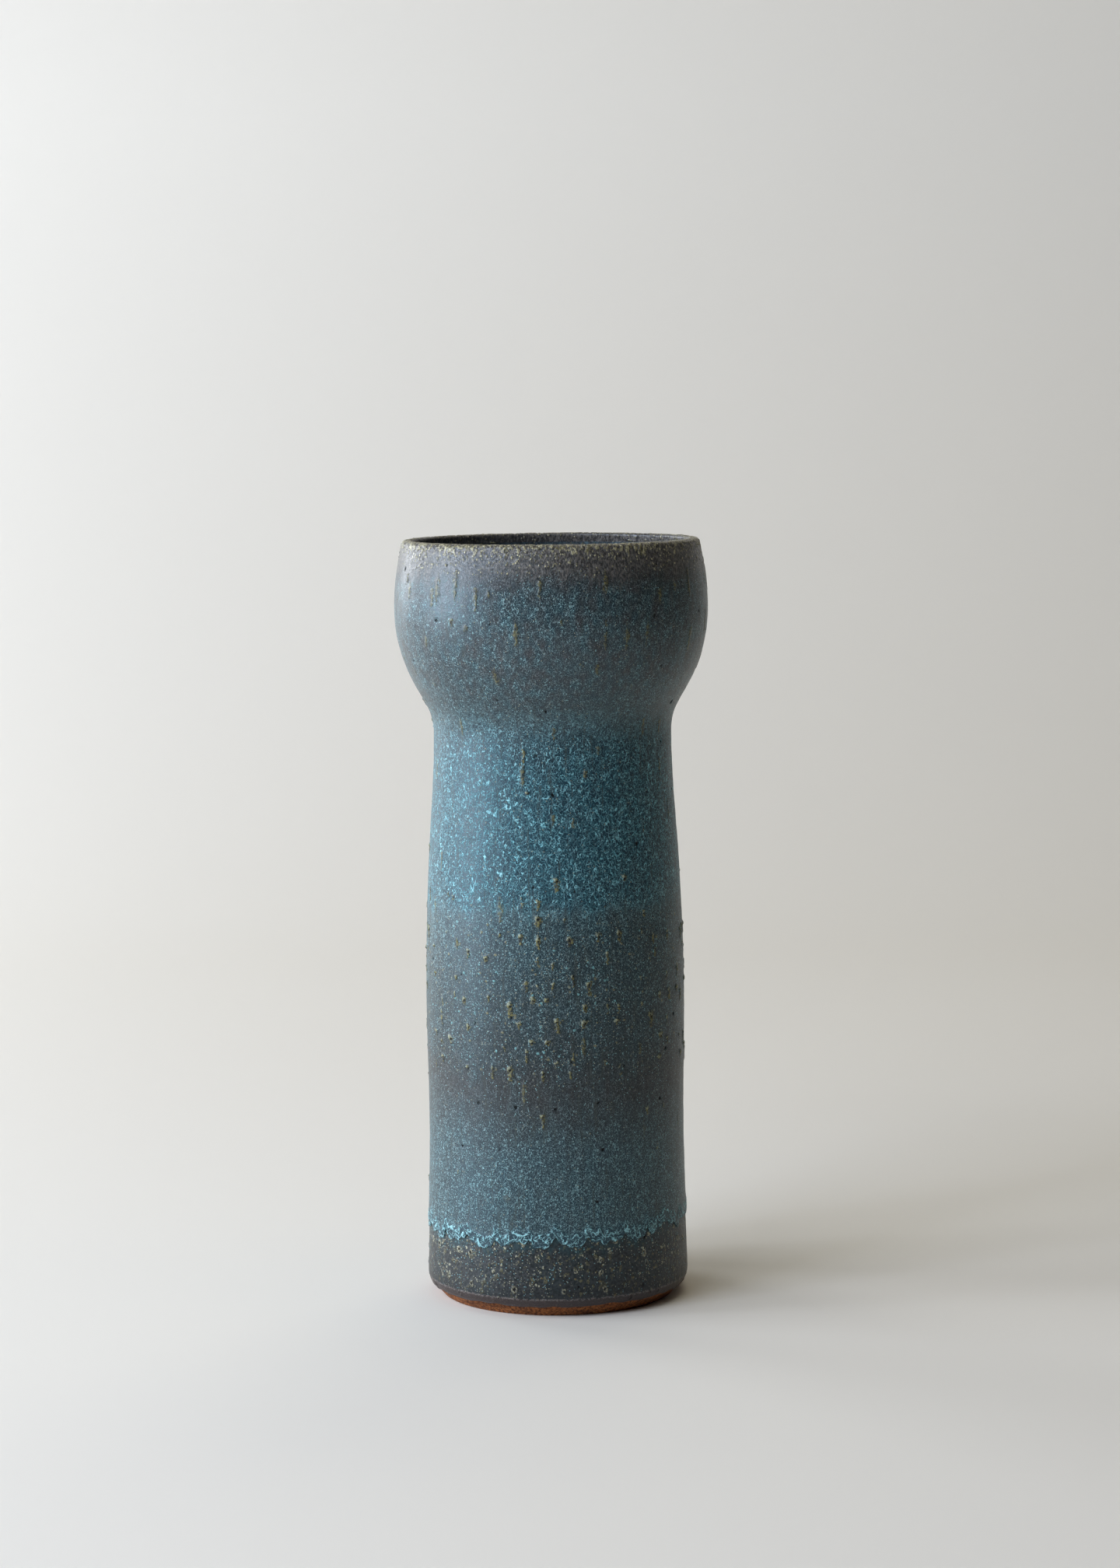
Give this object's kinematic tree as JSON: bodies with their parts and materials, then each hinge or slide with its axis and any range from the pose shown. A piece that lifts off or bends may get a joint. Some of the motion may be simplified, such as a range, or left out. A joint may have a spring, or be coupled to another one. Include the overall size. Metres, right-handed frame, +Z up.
{
  "type": "vase",
  "caption": "Tall thrown stoneware vase: a waisted cylindrical shaft with a bevelled bare foot and a deep cup-shaped collar, in crystalline blue glaze over dark.",
  "frame": {"origin": "centre of the face the foot rests on", "axes": "+Z up along the vase's axis of revolution, from the foot to the mouth; X and Y are equal"},
  "size_m": [0.107, 0.107, 0.26],
  "materials": {
    "stoneware": "bare fired clay, matte and gritty",
    "base_glaze": "dark charcoal satin glaze with small olive craters",
    "blue_glaze": "satin microcrystalline glaze, light blue over dark grey-brown, with ochre specks",
    "lip_glaze": "dark brown satin glaze broken to olive on the lip",
    "liner_glaze": "dark blue-grey satin glaze"
  },
  "bodies": {
    "root": {"clay_body": "stoneware", "base_glaze": "base_glaze", "blue_glaze": "blue_glaze", "lip_glaze": "lip_glaze", "liner_glaze": "liner_glaze"}
  },
  "joints": []
}
